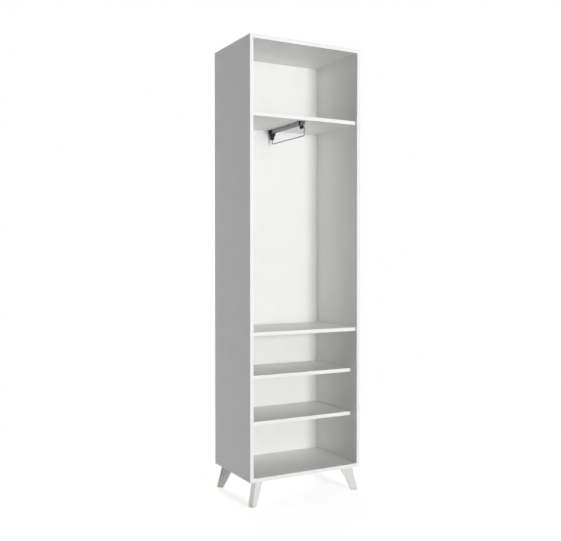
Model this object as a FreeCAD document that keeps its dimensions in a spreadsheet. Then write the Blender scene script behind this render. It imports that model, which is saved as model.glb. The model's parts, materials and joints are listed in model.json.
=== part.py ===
import FreeCAD, Part
import math
import os
import Sketcher
from types import SimpleNamespace

# An open wardrobe unit on four splayed legs: a board carcass with a hat shelf, a hanging space with a
# pull-out rail, a fixed middle shelf and two loose shelves. Millimetres, +Z up, the open front faces -Y.
# The origin is on the floor, under the middle of the carcass.

# The driving dimensions. Each one is a cell of the sheet, and every size and place below comes from them.
DIMENSIONS = {
    # Carcass: outside sizes, board thickness, and the back panel in its groove
    "width": 530,
    "depth": 346,
    "carcass_height": 1800,
    "board": 16,
    "back_thickness": 3,
    "back_inset": 10,
    "groove_depth": 8,
    "groove_play": 0.2,
    "back_edge_play": 0.5,
    # Edge bands on the board edges that show
    "band": 2,
    "band_round": 1.8,
    "band_corner": 1.2,
    # Clear heights: the first three from the bottom board up, the hat space from the top board down.
    # The hanging space between them is what remains
    "lower_space": 202,
    "loose_shelf_space": 174,
    "under_middle_space": 165,
    "hat_space": 289,
    # Shelves: how far they stand back from the front, and their gaps
    "fixed_setback": 15,
    "loose_setback": 48,
    "fixed_back_gap": 0.5,
    "loose_back_gap": 2,
    "loose_end_gap": 1,
    # Play between a fastener and its hole, round it and at its end
    "fit_play": 0.1,
    "end_play": 0.5,
    # Carcass screws, which hold the top and bottom boards to the sides, and the caps over the upper ones
    "screw_inset": 50,
    "screw_head_radius": 5,
    "screw_head_height": 3,
    "screw_shank_radius": 3.5,
    "screw_thread_radius": 2.9,
    "screw_point_radius": 1,
    "screw_point_length": 4,
    "screw_length": 50,
    "screw_socket_radius": 2.3,
    "screw_socket_depth": 3,
    "cap_radius": 6,
    "cap_thickness": 1.2,
    # Wooden dowels: dowel_floor is the board left under the hole in a board's face
    "dowel_radius": 4,
    "dowel_floor": 5,
    "dowel_edge_depth": 19,
    "dowel_chamfer": 1,
    "dowel_spacing": 110,
    # Cam locks of the fixed shelves: cam_floor is the board left under the cam
    "cam_radius": 7.5,
    "cam_floor": 3.5,
    "cam_distance": 24,
    "cam_inset": 50,
    "cam_bore_radius": 3.7,
    "cam_bore_reach": 3.5,
    "cam_slot_length": 8,
    "cam_slot_width": 1.8,
    "cam_slot_depth": 2.5,
    "cam_bolt_thread_radius": 2.9,
    "cam_bolt_floor": 5,
    "cam_bolt_collar_radius": 3.6,
    "cam_bolt_collar": 1.2,
    "cam_bolt_stem_radius": 3,
    "cam_bolt_neck_radius": 2,
    "cam_bolt_neck": 3.5,
    "cam_bolt_head_radius": 3.2,
    "cam_bolt_head": 3,
    "cam_bolt_tip": 2,
    "cam_bolt_bore_radius": 4,
    # Shelf pins under the loose shelves
    "pin_inset": 40,
    "pin_radius": 2.5,
    "pin_depth": 8.5,
    "pin_drop": 6.5,
    "pin_tongue": 11,
    "pin_width": 10,
    "pin_plate": 1.8,
    "pin_height": 11,
    "pin_round": 3,
    # Legs: flat tapered blocks that splay outwards, more to the sides than to the front and the rear
    "leg_height": 102,
    "leg_inset_x": 50.5,
    "leg_inset_y": 35,
    "leg_splay_x": 33.5,
    "leg_splay_y": 19.5,
    "leg_top_length": 57,
    "leg_foot_length": 29,
    "leg_width": 22.5,
    "leg_foot_round": 7,
    "leg_edge": 2,
    # What fixes a leg: a bolt in a threaded insert, and a dowel that keeps the leg from turning
    "leg_bolt_radius": 3.9,
    "leg_bolt_offset": 8,
    "leg_bolt_depth": 36,
    "insert_radius": 6,
    "insert_floor": 3,
    "leg_dowel_radius": 3,
    "leg_dowel_offset": -13,
    "leg_dowel_depth": 13,
    "leg_dowel_rise": 9,
    # Foot glides, set into the feet so that little of them shows
    "glide_show": 1,
    "glide_recess": 2,
    "glide_radius": 6,
    "glide_chamfer": 0.8,
    "glide_pin_radius": 1.4,
    "glide_pin_length": 12,
    # Pull-out rail: its place under the hat shelf
    "rail_front_gap": 41,
    "rail_rear_gap": 8,
    "rail_end_play": 0.6,
    # Rail channel and the ball races, from the middle of the rail and down from the shelf
    "rail_flange": 2.5,
    "channel_height": 12.5,
    "channel_wall": 1.1,
    "ball_radius": 1.75,
    "ball_offset": 5.9,
    "ball_drop": 9.8,
    "race_play": 0.2,
    "ball_to_wall": 1.1,
    "ball_pitch": 17,
    "ball_count": 5,
    # Ball cage and slide bar
    "cage_length": 86,
    "cage_wall": 0.8,
    "cage_play": 0.4,
    "cage_drop": 9.5,
    "ball_hole_play": 0.15,
    "stop_length": 1.2,
    "stop_play": 0.5,
    "stop_width": 5,
    "bar_wall": 1,
    "bar_overhang": 2,
    "bar_below": 1.5,
    # Fixed brackets of the rail
    "bracket_length": 13,
    "bracket_wall": 2,
    "bracket_half_width": 17,
    "bracket_lip": 1.65,
    "bracket_lip_reach": 1.9,
    "bracket_round": 1,
    "block_length": 14,
    "block_clip": 14,
    "rail_screw_radius": 1.5,
    "rail_screw_head_radius": 2.6,
    "rail_screw_head": 1.5,
    "rail_screw_floor": 5.5,
    "rail_screw_point": 1.5,
    "rail_screw_spread": 14.2,
    "block_screw_spread": 5,
    "block_pocket_radius": 3.4,
    "cross_length": 3,
    "cross_width": 0.8,
    "cross_depth": 1,
    # Moving carriers of the rail, and the screws that hold them to the bar
    "front_boss_drop": 25,
    "front_boss_radius": 7,
    "front_boss_length": 15,
    "carrier_neck": 4.4,
    "carrier_round": 1.2,
    "rear_carrier_under": 16.4,
    "rear_carrier_length": 28,
    "rear_carrier_half": 8,
    "rear_carrier_gap": 0.8,
    "rear_carrier_waist": 30,
    "rear_carrier_slope": 5,
    "rear_carrier_low_half": 6,
    "rear_carrier_low_front": 7,
    "rear_carrier_low_rear": 5,
    "rear_carrier_drop": 44,
    "carrier_screw_radius": 1.4,
    "carrier_screw_head_radius": 2.6,
    "carrier_screw_head": 1.8,
    "carrier_screw_length": 6,
    "carrier_screw_inset": 7.5,
    # Hanger rod, bent from round wire
    "rod_radius": 2.5,
    "rod_drop": 63,
    "rod_reach": 15.5,
    "rod_bend": 9,
    "rod_socket": 12,
    "rod_rear_inset": 15,
}

# How far a cut runs past the face that it opens, so that it leaves no skin there
PAST = 2
# Two places nearer than this are the same
NEAR = 0.01

doc = FreeCAD.newDocument("Wardrobe")
sheet = doc.addObject("Spreadsheet::Sheet", "Sizes")
for row, (alias, number) in enumerate(DIMENSIONS.items(), start=1):
    sheet.set(f"A{row}", alias)
    sheet.set(f"B{row}", str(number))
    sheet.setAlias(f"B{row}", alias)
doc.recompute()


class Size:
    """A number, with the formula on the sheet's cells that gives it."""

    def __init__(self, text, value):
        self.text = text
        self.value = value

    def __add__(self, other):
        other = sized(other)
        return Size(f"({self.text} + {other.text})", self.value + other.value)

    def __sub__(self, other):
        other = sized(other)
        return Size(f"({self.text} - {other.text})", self.value - other.value)

    def __mul__(self, other):
        other = sized(other)
        return Size(f"({self.text} * {other.text})", self.value * other.value)

    def __truediv__(self, other):
        other = sized(other)
        return Size(f"({self.text} / {other.text})", self.value / other.value)

    def __neg__(self):
        return Size(f"(0 - {self.text})", -self.value)

    def __rsub__(self, other):
        return sized(other) - self

    __radd__ = __add__
    __rmul__ = __mul__


def sized(number):
    return number if isinstance(number, Size) else Size(f"{number:.9f}", float(number))


def root(square):
    return Size(f"sqrt({square.text})", math.sqrt(square.value))


def bearing(x, y):
    """The angle from the X axis to a direction, in degrees."""
    return Size(f"atan2({y.text}, {x.text})", math.degrees(math.atan2(y.value, x.value)))


def bind(thing, prop, size):
    thing.setExpression(prop, sized(size).text)


dim = SimpleNamespace(**{name: Size(f"Sizes.{name}", float(sheet.get(name))) for name in DIMENSIONS})

# Heights
carcass_bottom = dim.leg_height + dim.glide_show
bottom_top = carcass_bottom + dim.board
lower_shelf_under = bottom_top + dim.lower_space
loose_shelf_under = lower_shelf_under + dim.board + dim.loose_shelf_space
middle_under = loose_shelf_under + dim.board + dim.under_middle_space
carcass_top = carcass_bottom + dim.carcass_height
top_under = carcass_top - dim.board
upper_under = top_under - dim.hat_space - dim.board

# Across and front to back
half = dim.width / 2
inner = half - dim.board
front = -dim.depth / 2
rear = dim.depth / 2
back_front = rear - dim.back_inset - dim.back_thickness
fixed_front = front + dim.fixed_setback
fixed_rear = back_front - dim.fixed_back_gap
loose_front = front + dim.loose_setback
loose_rear = back_front - dim.loose_back_gap

# Rail: places along Y at rest, and heights below the hat shelf
rail_front = front + dim.rail_front_gap
rail_rear = back_front - dim.rail_rear_gap - dim.block_length
bar_front = rail_front - dim.bar_overhang
bar_rear = rail_rear - dim.rail_end_play
ear_front = bar_rear - dim.stop_length
travel = ear_front - rail_front - dim.stop_length - 2 * dim.stop_play - dim.cage_length
cage_front = rail_front + dim.stop_length + dim.stop_play + travel / 2
cage_rear = cage_front + dim.cage_length
carrier_front = bar_rear - dim.rear_carrier_under
carrier_rear = carrier_front + dim.rear_carrier_length
rod_rear = carrier_front + dim.rod_rear_inset
rod_front = bar_front - dim.rod_reach
front_screw = bar_front + dim.carrier_screw_inset
rear_screw = carrier_front + dim.carrier_screw_inset
channel_top = -dim.rail_flange
channel_bottom = channel_top - dim.channel_height
web_under = channel_top - dim.channel_wall
cage_top = web_under - dim.cage_play
cage_under = cage_top - dim.cage_wall
bar_top = cage_under - dim.cage_play
bar_bottom = channel_bottom - dim.bar_below
race_radius = dim.ball_radius + dim.race_play
race_z = -dim.ball_drop
channel_inside = dim.ball_offset + dim.ball_to_wall
channel_outside = channel_inside + dim.channel_wall
bulge_radius = race_radius + dim.channel_wall
bar_outside = dim.ball_offset - dim.ball_to_wall
bar_inside = bar_outside - dim.bar_wall
clip_inside = dim.ball_offset + bulge_radius + dim.fit_play
clip_outside = clip_inside + dim.bracket_wall
lip_top = channel_bottom - dim.fit_play
lip_bottom = lip_top - dim.bracket_lip

UPRIGHT = FreeCAD.Rotation()
FLIPPED = FreeCAD.Rotation(FreeCAD.Vector(1, 0, 0), 180)
TURNED = FreeCAD.Rotation(FreeCAD.Vector(0, 0, 1), 180)
FLIPPED_TURNED = FreeCAD.Rotation(FreeCAD.Vector(0, 1, 0), 180)
TO_RIGHT = FreeCAD.Rotation(FreeCAD.Vector(0, 1, 0), 90)
TO_LEFT = FreeCAD.Rotation(FreeCAD.Vector(0, 1, 0), -90)

pieces = []


def piece(thing, label):
    """Names a finished sub-part, so that it is checked and written out."""
    thing.Label = label
    pieces.append(thing)
    return thing


def origin_feature(body, role):
    return next(feature for feature in body.Origin.OriginFeatures if feature.Role == role)


def new_body(name):
    return doc.addObject("PartDesign::Body", name)


def rail_body(name):
    """A body whose heights count from the underside of the hat shelf."""
    body = new_body(name)
    bind(body, "Placement.Base.z", upper_under)
    return body


def drawing(body, role, offset=0):
    """A sketch on one of the body's planes, moved along the plane's normal by the offset."""
    made = body.newObject("Sketcher::SketchObject", f"{body.Name}Sketch")
    made.AttachmentSupport = [(origin_feature(body, role), "")]
    made.MapMode = "FlatFace"
    bind(made, "AttachmentOffset.Base.z", offset)
    return made


def point(x, y):
    return FreeCAD.Vector(sized(x).value, sized(y).value, 0)


def place(sketch, edge, end, x, y):
    for kind, size in (("DistanceX", x), ("DistanceY", y)):
        size = sized(size)
        index = sketch.addConstraint(Sketcher.Constraint(kind, -1, 1, edge, end, size.value))
        sketch.setExpression(f"Constraints[{index}]", size.text)


def set_radius(sketch, edge, radius):
    radius = sized(radius)
    index = sketch.addConstraint(Sketcher.Constraint("Radius", edge, radius.value))
    sketch.setExpression(f"Constraints[{index}]", radius.text)


def draw_arc(sketch, begin, finish, centre, radius):
    """An arc of under half a turn; tells which of its ends is the beginning."""
    angles = [math.atan2(end.y - centre.y, end.x - centre.x) for end in (begin, finish)]
    anticlockwise = math.sin(angles[1] - angles[0]) > 0
    if not anticlockwise:
        angles.reverse()
    circle = Part.Circle(centre, FreeCAD.Vector(0, 0, 1), sized(radius).value)
    edge = sketch.addGeometry(Part.ArcOfCircle(circle, angles[0], angles[1]))
    set_radius(sketch, edge, radius)
    return (edge, 1, 2) if anticlockwise else (edge, 2, 1)


def outline(sketch, corners, closed=True):
    """Lines from corner to corner. A corner (x, y, (centre x, centre y, radius)) starts an arc instead."""
    edges = []
    last = len(corners) if closed else len(corners) - 1
    for index in range(last):
        corner = corners[index]
        following = corners[(index + 1) % len(corners)]
        begin = point(*corner[:2])
        finish = point(*following[:2])
        if len(corner) == 3:
            centre_x, centre_y, radius = corner[2]
            edges.append(draw_arc(sketch, begin, finish, point(centre_x, centre_y), radius))
        else:
            edges.append((sketch.addGeometry(Part.LineSegment(begin, finish)), 1, 2))
    for index, (edge, start, end) in enumerate(edges):
        place(sketch, edge, start, *corners[index][:2])
        if closed or index + 1 < last:
            next_edge, next_start, _ = edges[(index + 1) % len(edges)]
            sketch.addConstraint(Sketcher.Constraint("Coincident", edge, end, next_edge, next_start))
    if not closed:
        edge, _, end = edges[-1]
        place(sketch, edge, end, *corners[-1][:2])


def rectangle(sketch, low_x, low_y, high_x, high_y):
    outline(sketch, [(low_x, low_y), (high_x, low_y), (high_x, high_y), (low_x, high_y)])


def cross(sketch, length, width):
    """A plus-shaped recess for a driver."""
    long = length / 2
    short = width / 2
    outline(sketch, [
        (long, -short), (long, short), (short, short), (short, long), (-short, long), (-short, short),
        (-long, short), (-long, -short), (-short, -short), (-short, -long), (short, -long), (short, -short),
    ])


def circle(sketch, x, y, radius):
    flat = Part.Circle(point(x, y), FreeCAD.Vector(0, 0, 1), sized(radius).value)
    edge = sketch.addGeometry(flat)
    set_radius(sketch, edge, radius)
    place(sketch, edge, 3, x, y)


def pad(body, sketch, length, symmetric=False):
    feature = body.newObject("PartDesign::Pad", f"{body.Name}Pad")
    feature.Profile = sketch
    bind(feature, "Length", length)
    if symmetric:
        feature.SideType = "Symmetric"
    return feature


def pocket(body, sketch, length, symmetric=False, reverse=False):
    """Cuts against the sketch's normal, along it if reversed, or both ways."""
    feature = body.newObject("PartDesign::Pocket", f"{body.Name}Pocket")
    feature.Profile = sketch
    bind(feature, "Length", length)
    feature.Reversed = reverse
    if symmetric:
        feature.SideType = "Symmetric"
    return feature


def fillet(body, base, radius, chosen):
    """Rounds the edges of the base feature that the chosen rule picks."""
    doc.recompute()
    names = [f"Edge{number}" for number, edge in enumerate(base.Shape.Edges, start=1) if chosen(edge)]
    feature = body.newObject("PartDesign::Fillet", f"{body.Name}Fillet")
    feature.Base = (base, names)
    bind(feature, "Radius", radius)
    return feature


def run_along_y(body, corners, y_front, y_rear):
    """Pads an outline in X and Z from the rear place to the front one."""
    profile = drawing(body, "XZ_Plane", -y_rear)
    outline(profile, corners)
    return pad(body, profile, y_rear - y_front)


def turned(name, corners):
    """A body turned about its Z axis from an outline of (radius, height)."""
    body = new_body(name)
    profile = drawing(body, "XZ_Plane")
    outline(profile, corners)
    feature = body.newObject("PartDesign::Revolution", f"{name}Turned")
    feature.Profile = profile
    feature.ReferenceAxis = (origin_feature(body, "Z_Axis"), [""])
    feature.Angle = 360
    return body


def box(name, low, high):
    """A block between two opposite corners."""
    block = doc.addObject("Part::Box", name)
    for prop, axis, begin, end in zip(("Length", "Width", "Height"), "xyz", low, high):
        bind(block, prop, end - begin)
        bind(block, f"Placement.Base.{axis}", begin)
    return block


def copies(name, master, places):
    """Copies of one solid, each at (x, y, z) with a rotation, as one group of separate solids."""
    links = []
    for x, y, z, rotation in places:
        link = doc.addObject("App::Link", f"{name}Copy")
        link.LinkedObject = master
        link.Placement = FreeCAD.Placement(FreeCAD.Vector(), rotation)
        for axis, size in zip("xyz", (x, y, z)):
            bind(link, f"Placement.Base.{axis}", size)
        links.append(link)
    return group(name, links)


def group(name, members):
    made = doc.addObject("Part::Compound", name)
    made.Links = members
    return made


def cut(name, base, tools):
    """The base less the tools, which lie clear of each other."""
    made = doc.addObject("Part::Cut", name)
    made.Base = base
    made.Tool = group(f"{name}Tools", tools)
    return made


# Fasteners of the carcass, each with the shape of its hole

def carcass_screw_outline(play, sunk):
    """The screw hangs down from its head at height 0. A sunk one has the room for its cap above it."""
    length = dim.screw_length + play
    neck = length - dim.screw_point_length
    head = dim.screw_head_radius + play
    shank = dim.screw_shank_radius + play
    thread = dim.screw_thread_radius + play
    room = dim.cap_radius + play
    above = [(0, dim.cap_thickness), (room, dim.cap_thickness), (room, 0)] if sunk else [(0, 0)]
    return above + [
        (head, 0), (shank, -dim.screw_head_height), (shank, -dim.board), (thread, -dim.board),
        (thread, -neck), (dim.screw_point_radius + play, -length), (0, -length),
    ]


def make_carcass_screw():
    body = turned("CarcassScrew", carcass_screw_outline(0, False))
    socket = drawing(body, "XY_Plane")
    flat = dim.screw_socket_radius
    rise = flat * math.sqrt(0.75)
    outline(socket, [
        (flat, 0), (flat / 2, rise), (-flat / 2, rise), (-flat, 0), (-flat / 2, -rise), (flat / 2, -rise),
    ])
    pocket(body, socket, dim.screw_socket_depth)
    return body


def dowel_outline(play):
    """Height 0 is where two boards meet: upwards is the face board, downwards the edge of the other."""
    radius = dim.dowel_radius + play
    gap = dim.end_play if play else 0
    up = dim.board - dim.dowel_floor + gap
    down = -dim.dowel_edge_depth - gap
    slim = radius - dim.dowel_chamfer
    return [
        (0, up), (slim, up), (radius, up - dim.dowel_chamfer),
        (radius, down + dim.dowel_chamfer), (slim, down), (0, down),
    ]


def cam_bolt():
    """Height 0 is the side board's inner face: downwards is its thread, upwards the shelf."""
    thread_end = dim.cam_bolt_floor - dim.board
    head_top = dim.cam_distance + dim.cam_bolt_tip
    head_under = head_top - dim.cam_bolt_head
    neck_under = head_under - dim.cam_bolt_neck
    return turned("CamBolt", [
        (0, thread_end), (dim.cam_bolt_thread_radius, thread_end), (dim.cam_bolt_thread_radius, 0),
        (dim.cam_bolt_collar_radius, 0), (dim.cam_bolt_collar_radius, dim.cam_bolt_collar),
        (dim.cam_bolt_stem_radius, dim.cam_bolt_collar), (dim.cam_bolt_stem_radius, neck_under),
        (dim.cam_bolt_neck_radius, neck_under), (dim.cam_bolt_neck_radius, head_under),
        (dim.cam_bolt_head_radius, head_under), (dim.cam_bolt_head_radius, head_top), (0, head_top),
    ])


def cam_bolt_hole():
    """A thread hole in the side board, and a wider bore in the shelf's end as far as the cam."""
    thread = dim.cam_bolt_thread_radius + dim.fit_play
    bottom = dim.cam_bolt_floor - dim.board - dim.fit_play
    bore = dim.cam_bolt_bore_radius
    return turned("CamBoltHole", [(0, bottom), (thread, bottom), (thread, 0), (bore, 0),
                                  (bore, dim.cam_distance), (0, dim.cam_distance)])


def cam():
    """A round cam flush with the shelf's face at height 0, open at one side for the bolt's head."""
    depth = dim.board - dim.cam_floor
    body = turned("Cam", [(0, 0), (dim.cam_radius, 0), (dim.cam_radius, -depth), (0, -depth)])
    bore = drawing(body, "YZ_Plane", dim.cam_bore_reach)
    circle(bore, 0, -dim.board / 2, dim.cam_bore_radius)
    pocket(body, bore, dim.cam_bore_reach + dim.cam_radius + PAST)
    slot = drawing(body, "XY_Plane")
    cross(slot, dim.cam_slot_length, dim.cam_slot_width)
    pocket(body, slot, dim.cam_slot_depth)
    return body


def cam_hole():
    radius = dim.cam_radius + dim.fit_play
    depth = dim.board - dim.cam_floor + dim.fit_play
    return turned("CamHole", [(0, 0), (radius, 0), (radius, -depth), (0, -depth)])


def shelf_pin():
    """A spade pin: its shank goes into the side board, its tongue carries the shelf at height 0."""
    body = new_body("ShelfPin")
    bend = drawing(body, "XZ_Plane")
    outline(bend, [
        (0, 0), (dim.pin_tongue, 0), (dim.pin_tongue, -dim.pin_plate), (dim.pin_plate, -dim.pin_plate),
        (dim.pin_plate, -dim.pin_height), (0, -dim.pin_height),
    ])
    spade = pad(body, bend, dim.pin_width, symmetric=True)
    tongue_end = dim.pin_tongue.value
    foot = -dim.pin_height.value
    fillet(body, spade, dim.pin_round, lambda edge: (
        edge.BoundBox.YLength < NEAR
        and (edge.BoundBox.XMin > tongue_end - NEAR or edge.BoundBox.ZMax < foot + NEAR)
        and edge.Length < dim.pin_plate.value + NEAR
    ))
    shank = drawing(body, "YZ_Plane")
    circle(shank, 0, -dim.pin_drop, dim.pin_radius)
    stub = pad(body, shank, dim.pin_depth)
    stub.Reversed = True
    return body


def shelf_pin_hole():
    """Bored along Z here, and turned into the side board where it is placed."""
    radius = dim.pin_radius + dim.fit_play
    depth = dim.pin_depth + dim.end_play
    return turned("ShelfPinHole", [(0, 0), (radius, 0), (radius, -depth), (0, -depth)])


# Where the fasteners go

side_middle = half - dim.board / 2
screw_y = rear - dim.screw_inset
dowel_y = dim.dowel_spacing / 2


def at_corners(x, y, z, rotation):
    return [(sx * x, sy * y, z, rotation) for sx in (-1, 1) for sy in (-1, 1)]


def shelf_ends(depths, z, left, right):
    """Places on both side boards' inner faces, at each of the depths."""
    return [(sign * inner, y, z, turn) for sign, turn in ((-1, left), (1, right)) for y in depths]


carcass_screw = make_carcass_screw()
dowel = turned("Dowel", dowel_outline(0))
dowel_hole = turned("DowelHole", dowel_outline(dim.fit_play))
bolt = cam_bolt()
bolt_hole = cam_bolt_hole()
lock = cam()
lock_hole = cam_hole()
pin = shelf_pin()
pin_hole = shelf_pin_hole()
sunk_hole = turned("SunkScrewHole", carcass_screw_outline(dim.fit_play, True))
flush_hole = turned("FlushScrewHole", carcass_screw_outline(dim.fit_play, False))
screw_cap = turned("ScrewCap", [(0, 0), (dim.cap_radius, 0), (dim.cap_radius, dim.cap_thickness),
                                (0, dim.cap_thickness)])

top_screw_places = at_corners(side_middle, screw_y, carcass_top - dim.cap_thickness, UPRIGHT)
bottom_screw_places = at_corners(side_middle, screw_y, carcass_bottom, FLIPPED)
top_dowel_places = at_corners(side_middle, dowel_y, top_under, UPRIGHT)
bottom_dowel_places = at_corners(side_middle, dowel_y, bottom_top, FLIPPED)
piece(copies("TopScrews", carcass_screw, top_screw_places), "top_panel_screws")
piece(copies("TopCaps", screw_cap, top_screw_places), "top_screw_caps")
piece(copies("BottomScrews", carcass_screw, bottom_screw_places), "bottom_panel_screws")
piece(copies("TopDowels", dowel, top_dowel_places), "top_dowels")
piece(copies("BottomDowels", dowel, bottom_dowel_places), "bottom_dowels")
top_holes = [copies("TopScrewHoles", sunk_hole, top_screw_places),
             copies("TopDowelHoles", dowel_hole, top_dowel_places)]
bottom_holes = [copies("BottomScrewHoles", flush_hole, bottom_screw_places),
                copies("BottomDowelHoles", dowel_hole, bottom_dowel_places)]
side_holes = []
shelf_holes = {}


def fix_shelf(name, under, cams_on_top):
    """Cams, bolts and dowels of a fixed shelf. The cams are in the face that is out of sight."""
    middle = under + dim.board / 2
    cam_depths = (fixed_front + dim.cam_inset, fixed_rear - dim.cam_inset)
    dowel_depths = ((fixed_front + fixed_rear) / 2,)
    bolt_places = shelf_ends(cam_depths, middle, TO_RIGHT, TO_LEFT)
    dowel_places = shelf_ends(dowel_depths, middle, TO_LEFT, TO_RIGHT)
    face = under + dim.board if cams_on_top else under
    turns = (UPRIGHT, TURNED) if cams_on_top else (FLIPPED, FLIPPED_TURNED)
    reach = inner - dim.cam_distance
    cam_places = [(sign * reach, y, face, turn) for sign, turn in zip((-1, 1), turns) for y in cam_depths]
    piece(copies(f"{name}Cams", lock, cam_places), f"{name}_cams")
    piece(copies(f"{name}CamBolts", bolt, bolt_places), f"{name}_cam_bolts")
    piece(copies(f"{name}Dowels", dowel, dowel_places), f"{name}_dowels")
    bores = [copies(f"{name}CamBoltHoles", bolt_hole, bolt_places),
             copies(f"{name}DowelHoles", dowel_hole, dowel_places)]
    side_holes.extend(bores)
    shelf_holes[name] = (bores, [copies(f"{name}CamHoles", lock_hole, cam_places)])


def pin_shelf(name, under):
    """Four pins under a loose shelf."""
    depths = (loose_front + dim.pin_inset, loose_rear - dim.pin_inset)
    piece(copies(f"{name}Pins", pin, shelf_ends(depths, under, UPRIGHT, TURNED)), f"{name}_pins")
    hole_places = shelf_ends(depths, under - dim.pin_drop, TO_RIGHT, TO_LEFT)
    side_holes.append(copies(f"{name}PinHoles", pin_hole, hole_places))


fix_shelf("upper_shelf", upper_under, cams_on_top=True)
fix_shelf("middle_shelf", middle_under, cams_on_top=False)
pin_shelf("loose_shelf_upper", loose_shelf_under)
pin_shelf("loose_shelf_lower", lower_shelf_under)


# Legs, with what fixes them and what they stand on

leg_x = half - dim.leg_inset_x
leg_y = rear - dim.leg_inset_y
leg_splay = root(dim.leg_splay_x * dim.leg_splay_x + dim.leg_splay_y * dim.leg_splay_y)
glide_pin_top = dim.glide_recess + dim.glide_pin_length


def leg_places(offset, z, rotation):
    """Places along the way in which the legs splay, outwards from the middle of their tops."""
    share = offset / leg_splay
    return at_corners(leg_x + share * dim.leg_splay_x, leg_y + share * dim.leg_splay_y, z, rotation)


def leg(label, sx, sy):
    """A flat tapered block with rounded edges. Its own X axis points outwards, and its top is at height 0."""
    body = new_body("Leg")
    top_reach = dim.leg_top_length / 2
    foot_reach = dim.leg_foot_length / 2
    side_view = drawing(body, "XZ_Plane")
    outline(side_view, [
        (-top_reach, 0), (leg_splay - foot_reach, -dim.leg_height),
        (leg_splay + foot_reach, -dim.leg_height), (top_reach, 0),
    ])
    block = pad(body, side_view, dim.leg_width, symmetric=True)
    lowest = -dim.leg_height.value
    footed = fillet(body, block, dim.leg_foot_round,
                    lambda edge: edge.BoundBox.ZMax < lowest + NEAR and edge.BoundBox.YLength > NEAR)
    fillet(body, footed, dim.leg_edge,
           lambda edge: edge.BoundBox.ZMin < -NEAR and edge.BoundBox.YLength < NEAR)
    for offset, radius, depth in (
        (dim.leg_bolt_offset, dim.leg_bolt_radius, dim.leg_bolt_depth),
        (dim.leg_dowel_offset, dim.leg_dowel_radius, dim.leg_dowel_depth),
    ):
        hole = drawing(body, "XY_Plane")
        circle(hole, offset, 0, radius + dim.fit_play)
        pocket(body, hole, depth + dim.end_play)
    for radius, depth in (
        (dim.glide_radius, dim.glide_recess),
        (dim.glide_pin_radius, glide_pin_top + dim.end_play),
    ):
        socket = drawing(body, "XY_Plane", -dim.leg_height)
        circle(socket, leg_splay, 0, radius + dim.fit_play)
        pocket(body, socket, depth, reverse=True)
    bind(body, "Placement.Rotation.Angle", bearing(sx * dim.leg_splay_x, sy * dim.leg_splay_y))
    for axis, size in zip("xyz", (sx * leg_x, sy * leg_y, carcass_bottom)):
        bind(body, f"Placement.Base.{axis}", size)
    piece(body, label)


def rod_outline(radius, low, high):
    return [(0, low), (radius, low), (radius, high), (0, high)]


leg("leg_front_left", -1, -1)
leg("leg_front_right", 1, -1)
leg("leg_rear_left", -1, 1)
leg("leg_rear_right", 1, 1)

insert_length = dim.board - dim.insert_floor
bolt_rise = insert_length - dim.end_play
insert_bore = dim.leg_bolt_radius + dim.fit_play
leg_bolt = turned("LegBolt", rod_outline(dim.leg_bolt_radius, -dim.leg_bolt_depth, bolt_rise))
leg_dowel = turned("LegDowel", rod_outline(dim.leg_dowel_radius, -dim.leg_dowel_depth, dim.leg_dowel_rise))
leg_dowel_hole = turned("LegDowelHole", rod_outline(dim.leg_dowel_radius + dim.fit_play, -dim.end_play,
                                                    dim.leg_dowel_rise + dim.end_play))
insert = turned("LegInsert", [(insert_bore, 0), (dim.insert_radius, 0), (dim.insert_radius, insert_length),
                              (insert_bore, insert_length)])
insert_hole = turned("LegInsertHole", rod_outline(dim.insert_radius + dim.fit_play, -dim.end_play,
                                                  insert_length + dim.fit_play))
glide = turned("FootGlide", [
    (0, -dim.glide_show), (dim.glide_radius - dim.glide_chamfer, -dim.glide_show),
    (dim.glide_radius, dim.glide_chamfer - dim.glide_show), (dim.glide_radius, dim.glide_recess),
    (dim.glide_pin_radius, dim.glide_recess), (dim.glide_pin_radius, glide_pin_top), (0, glide_pin_top),
])
insert_places = leg_places(dim.leg_bolt_offset, carcass_bottom, UPRIGHT)
leg_dowel_places = leg_places(dim.leg_dowel_offset, carcass_bottom, UPRIGHT)
piece(copies("LegBolts", leg_bolt, insert_places), "leg_bolts")
piece(copies("LegInserts", insert, insert_places), "leg_inserts")
piece(copies("LegDowels", leg_dowel, leg_dowel_places), "leg_dowels")
piece(copies("FootGlides", glide, leg_places(leg_splay, dim.glide_show, UPRIGHT)), "foot_glides")
leg_holes = [copies("LegInsertHoles", insert_hole, insert_places),
             copies("LegDowelHoles", leg_dowel_hole, leg_dowel_places)]


# Rail screws, which also need holes in the hat shelf

def rail_screw_outline(play):
    """Points up from its countersunk head at height 0."""
    length = dim.rail_flange + dim.board - dim.rail_screw_floor + play
    shank = dim.rail_screw_radius + play
    return [
        (0, 0), (dim.rail_screw_head_radius + play, 0), (shank, dim.rail_screw_head),
        (shank, length - dim.rail_screw_point), (0, length),
    ]


def make_rail_screw():
    body = turned("RailScrew", rail_screw_outline(0))
    recess = drawing(body, "XY_Plane")
    cross(recess, dim.cross_length, dim.cross_width)
    pocket(body, recess, dim.cross_depth, reverse=True)
    return body


bracket_middle = rail_front + dim.bracket_length / 2
block_middle = rail_rear + dim.block_length / 2
rail_screw_spots = [(sign * dim.rail_screw_spread, bracket_middle) for sign in (-1, 1)]
rail_screw_spots += [(sign * dim.block_screw_spread, block_middle) for sign in (-1, 1)]
rail_screw_places = [(x, y, upper_under - dim.rail_flange, UPRIGHT) for x, y in rail_screw_spots]
rail_screw_hole = turned("RailScrewHole", rail_screw_outline(dim.fit_play))
rail_screw_holes = copies("RailScrewHoles", rail_screw_hole, rail_screw_places)
piece(copies("RailScrews", make_rail_screw(), rail_screw_places), "rail_bracket_screws")


# Boards

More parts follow.
